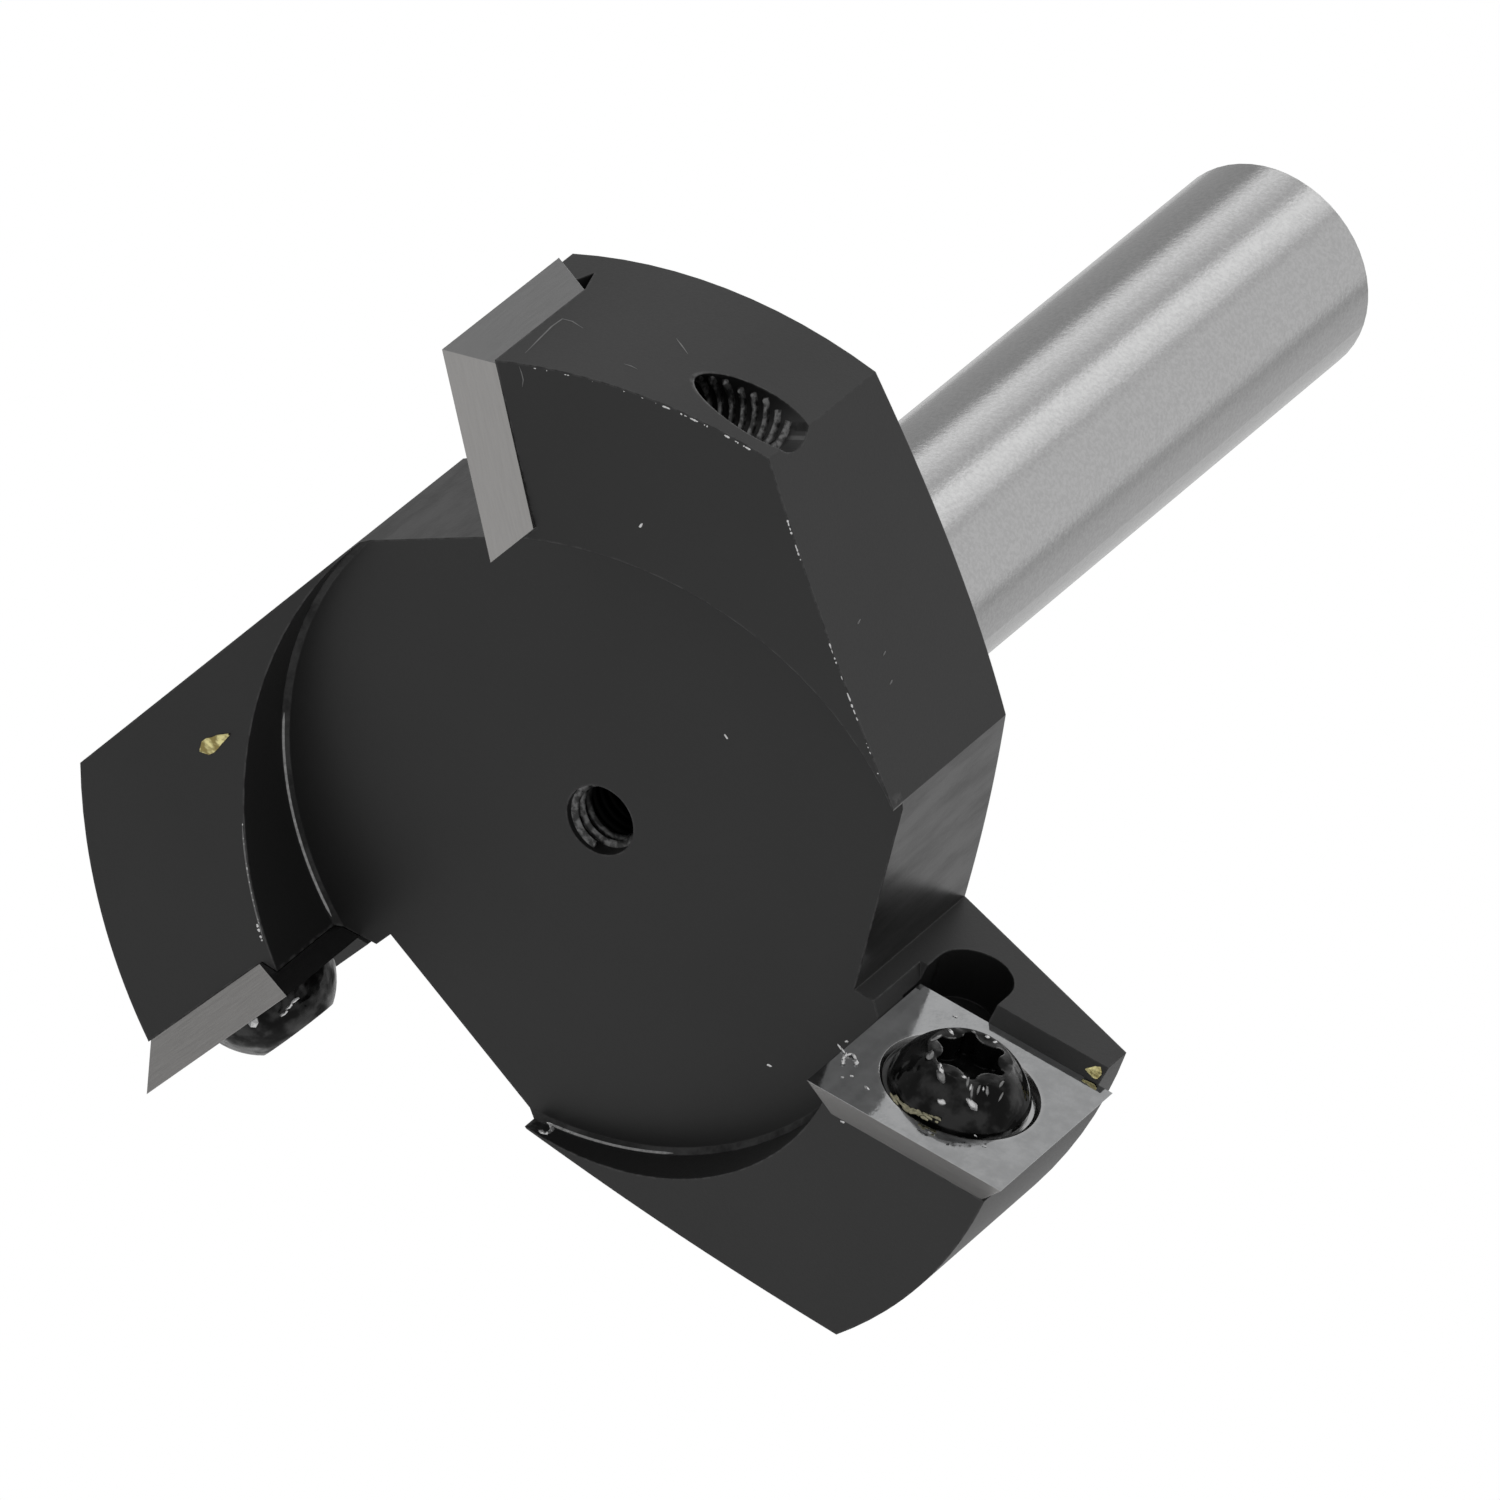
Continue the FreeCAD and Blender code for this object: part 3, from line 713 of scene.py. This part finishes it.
def make_grit():
    """Grit, curls and a burr of bright steel, and the sawdust packed round screw 1."""
    rng = random.Random(7)
    bm = bmesh.new()
    rake = at_wing(1, (0, -1, 0)).normalized()
    # Across, height, length, width and slant in degrees of each piece of grit on the rake face.
    for x, z, length, width, slant in (
        (19.6, 2.2, 0.30, 0.14, 10),
        (19.3, 1.7, 0.20, 0.10, 40),
        (20.7, 1.95, 0.45, 0.20, -15),
        (27.6, 2.6, 0.30, 0.08, 30),
        (26.8, 3.0, 0.25, 0.08, -20),
        (20.9, 11.0, 0.35, 0.12, 10),
    ):
        place = at_wing(1, (x, RAKE_Y - 0.02, z))
        slant = math.radians(slant)
        along = at_wing(1, (math.cos(slant), 0, math.sin(slant)))
        flake(bm, place, along, rake, length, width, 0.08, rng)
    # A sliver and a curl of steel by the insert's inner edge.
    y = RAKE_Y - 0.08
    curl(bm, 1, [(17.7, y, 3.88), (18.05, y, 3.68), (18.4, y, 3.5)], 0.50, 0.10, rng)
    loop = ((18.79, 2.6), (18.58, 3.0), (18.5, 3.4), (18.68, 3.75), (19.05, 3.55), (19.35, 3.1))
    curl(bm, 1, [(x, y, z) for x, z in loop], 0.55, 0.24, rng)
    # A burr round the corner where the dish's wall runs out.
    burr = (
        (2.15, 19.1, 7.5),
        (2.5, 19.08, 7.42),
        (2.76, 19.04, 7.15),
        (2.84, 19.02, 6.8),
        (2.7, 19.04, 6.5),
        (2.4, 19.07, 6.5),
    )
    curl(bm, 1, burr, 0.55, 0.26, rng)
    # A bead on the dish's wall beside insert 1, and swarf between insert 2 and its screw.
    curl(bm, 1, [(17.6, 7.4, 5.2), (17.95, 7.0, 4.8)], 0.60, 0.34, rng)
    curl(bm, 2, [(22.1, 2.0, 1.5), (22.7, 2.0, 1.5)], 0.70, 0.50, rng)
    swarf = ((21.9, 1.37, 3.0), (21.3, 1.5, 3.0), (20.8, 1.65, 3.0), (20.2, 1.7, 3.0))
    curl(bm, 2, swarf, 0.80, 0.20, rng)
    piece = make_piece("metal_grit", bm, bare_and_glint, smooth=False)
    bm = bmesh.new()
    # Sawdust packed below the screw between these angles, piled up on its head at the end.
    first, middle, last = 238, 254, 282
    for _ in range(46):
        angle = rng.uniform(first, last)
        heap = 0.45 * max(0, angle - middle) / (last - middle)
        angle = math.radians(angle)
        reach = SEAT_RIM + rng.uniform(-0.30, 0.16)
        x = SCREW_X + reach * math.cos(angle)
        z = SCREW_Z + reach * math.sin(angle)
        place = at_wing(1, (x, RAKE_Y - heap, z))
        along = at_wing(1, (-math.sin(angle), 0, math.cos(angle)))
        flake(bm, place, along, rake, rng.uniform(0.2, 0.6), rng.uniform(0.08, 0.22), 0.14, rng)
    make_piece("dust_at_screw", bm, dust, smooth=False)


make_chips()
make_lips()
make_scratches()
make_flecks()
make_glints()
make_grit()


# Camera, placed as the photograph was taken: from below, with a long lens

CAMERA_AIM = Vector((6.45, -8.14, 8.53))
CAMERA_AZIMUTH = 26.32
CAMERA_ELEVATION = -49.96
CAMERA_ROLL = 50.33
CAMERA_DISTANCE = 1158
CAMERA_LENS = 534.5


def direction(azimuth, elevation):
    """The unit vector towards an azimuth and elevation in degrees: azimuth 0 is -Y, 90 is +X."""
    azimuth = math.radians(azimuth)
    elevation = math.radians(elevation)
    flat = math.cos(elevation)
    return Vector((math.sin(azimuth) * flat, -math.cos(azimuth) * flat, math.sin(elevation)))


def make_camera():
    """Stand the camera back from its aim along the line of sight, rolled as the photograph is."""
    back = direction(CAMERA_AZIMUTH, CAMERA_ELEVATION)
    turn = back.to_track_quat("Z", "Y") @ Quaternion((0, 0, 1), math.radians(CAMERA_ROLL))
    data = bpy.data.cameras.new("camera")
    data.lens = CAMERA_LENS
    data.clip_start = 0.1
    data.clip_end = 10
    camera = bpy.data.objects.new("camera", data)
    bpy.context.scene.collection.objects.link(camera)
    camera.location = (CAMERA_AIM + back * CAMERA_DISTANCE) * MM
    camera.rotation_mode = "QUATERNION"
    camera.rotation_quaternion = turn
    bpy.context.scene.camera = camera


make_camera()


# Studio

def make_world():
    """White to the eye and in reflections, and softer as light."""
    world = bpy.data.worlds.new("studio")
    bpy.context.scene.world = world
    world.use_nodes = True
    tree = Tree(world.node_tree)
    ray = tree.add("ShaderNodeLightPath").outputs
    seen = tree.math("MAXIMUM", ray["Is Camera Ray"], ray["Is Glossy Ray"])
    seen = tree.math("MAXIMUM", seen, ray["Is Transmission Ray"])
    strength = tree.span(seen, 0.55, 1.0)
    sockets = {"Color": (1, 1, 1, 1), "Strength": strength}
    light = tree.add("ShaderNodeBackground", sockets)
    tree.add("ShaderNodeOutputWorld", {"Surface": light.outputs["Background"]})


def facing(azimuth, elevation, distance):
    """A place seen from the bit's middle in a direction, and the turn that faces the bit."""
    middle = Vector((0, 0, body_high.z * MM / 2))
    way = direction(azimuth, elevation)
    return middle + way * distance, way.to_track_quat("Z", "Y")


def span_width(span, elevation, distance):
    """How wide a panel is that covers a span of azimuths in degrees."""
    reach = distance * math.cos(math.radians(elevation))
    return 2 * reach * math.tan(math.radians(span / 2))


def stand(name, data, azimuth, elevation, distance):
    """Put a lamp or a card in a direction from the bit, facing it."""
    item = bpy.data.objects.new(name, data)
    bpy.context.scene.collection.objects.link(item)
    item.rotation_mode = "QUATERNION"
    item.location, item.rotation_quaternion = facing(azimuth, elevation, distance)
    return item


def soft_light(name, azimuth, elevation, distance, width, height, radiance):
    """An area lamp that faces the bit; radiance is how bright its face looks."""
    data = bpy.data.lights.new(name, "AREA")
    data.shape = "RECTANGLE"
    data.size = width
    data.size_y = height
    data.energy = radiance * math.pi * width * height
    stand(name, data, azimuth, elevation, distance)


def grey_card(name, azimuth, elevation, distance, width, height, level, fade=0.0):
    """A card that only reflections see, which may fade to white over a share of its half width."""
    mesh = bpy.data.meshes.new(name)
    x, y = width / 2, height / 2
    mesh.from_pydata([(-x, -y, 0), (x, -y, 0), (x, y, 0), (-x, y, 0)], [], [(0, 1, 2, 3)])
    material = bpy.data.materials.new(name)
    material.use_nodes = True
    tree = Tree(material.node_tree)
    colour = grey(level)
    if fade:
        across = tree.split(tree.add("ShaderNodeTexCoord").outputs["Object"])["X"]
        side = tree.mask(tree.math("ABSOLUTE", across), x * (1 - fade), x)
        colour = tree.blend(side, colour, grey(1.0))
    light = tree.add("ShaderNodeEmission", {"Color": colour, "Strength": 1.0})
    tree.add("ShaderNodeOutputMaterial", {"Surface": light.outputs["Emission"]})
    mesh.materials.append(material)
    card = stand(name, mesh, azimuth, elevation, distance)
    for rays in ("camera", "diffuse", "transmission", "volume_scatter", "shadow"):
        setattr(card, "visible_" + rays, False)


# The ring that the shank mirrors: name, middle azimuth, span of azimuths, level of a card.
CARD_RING = (
    ("left_card", -91, 60, 0.42),
    ("gap_card", -18, 11, 0.70),
    ("middle_gap_card", 26.5, 8, 0.72),
    ("notch_card", 108, 12, 0.50),
    ("right_card", 132, 36, 0.62),
    ("back_card", 187, 74, 0.66),
)
# Bright strips in the ring: name, middle azimuth, span of azimuths, radiance.
LIGHT_RING = (
    ("strip_left", -51, 17, 0.36),
    ("strip_left_fade", -38, 12, 0.15),
    ("strip_middle", -2, 17, 0.50),
    ("strip_middle_fade", 13, 13, 0.28),
)
RING_ELEVATION = 50
RING_HEIGHT = 0.8


def make_studio():
    """A dim ceiling, the ring of strips and cards above, and a low card at the back."""
    soft_light("overhead", 0, 80, 1.0, 0.5, 0.5, 1.2)
    grey_card("ceiling_card", 0, 90, 1.5, 5, 5, 0.85)
    grey_card("low_card", -135, -8, 1.2, 3.0, 0.9, 0.50, fade=0.6)
    for name, azimuth, span, level in CARD_RING:
        width = span_width(span, RING_ELEVATION, 1.1)
        grey_card(name, azimuth, RING_ELEVATION, 1.1, width, RING_HEIGHT, level)
    for name, azimuth, span, radiance in LIGHT_RING:
        width = span_width(span, RING_ELEVATION, 1.0)
        soft_light(name, azimuth, RING_ELEVATION, 1.0, width, RING_HEIGHT, radiance)


def make_floor():
    """A pale floor just under the cutting edges, clear when it is seen from below."""
    size = 3.0
    bpy.ops.mesh.primitive_plane_add(size=size, location=(0, 0, -0.02 * MM))
    floor = bpy.context.object
    floor.name = "floor"
    for rays in ("diffuse", "glossy", "transmission", "shadow"):
        setattr(floor, "visible_" + rays, False)
    material = bpy.data.materials.new("floor")
    material.use_nodes = True
    tree = Tree(material.node_tree)
    back = tree.add("ShaderNodeNewGeometry").outputs["Backfacing"]
    pale = tree.add("ShaderNodeBsdfDiffuse", {"Color": grey(0.85)})
    clear = tree.add("ShaderNodeBsdfTransparent")
    sockets = {0: back, 1: pale.outputs["BSDF"], 2: clear.outputs["BSDF"]}
    both = tree.add("ShaderNodeMixShader", sockets)
    tree.add("ShaderNodeOutputMaterial", {"Surface": both.outputs["Shader"]})
    floor.data.materials.append(material)


make_world()
make_floor()
make_studio()
bpy.context.scene.view_settings.view_transform = "Standard"
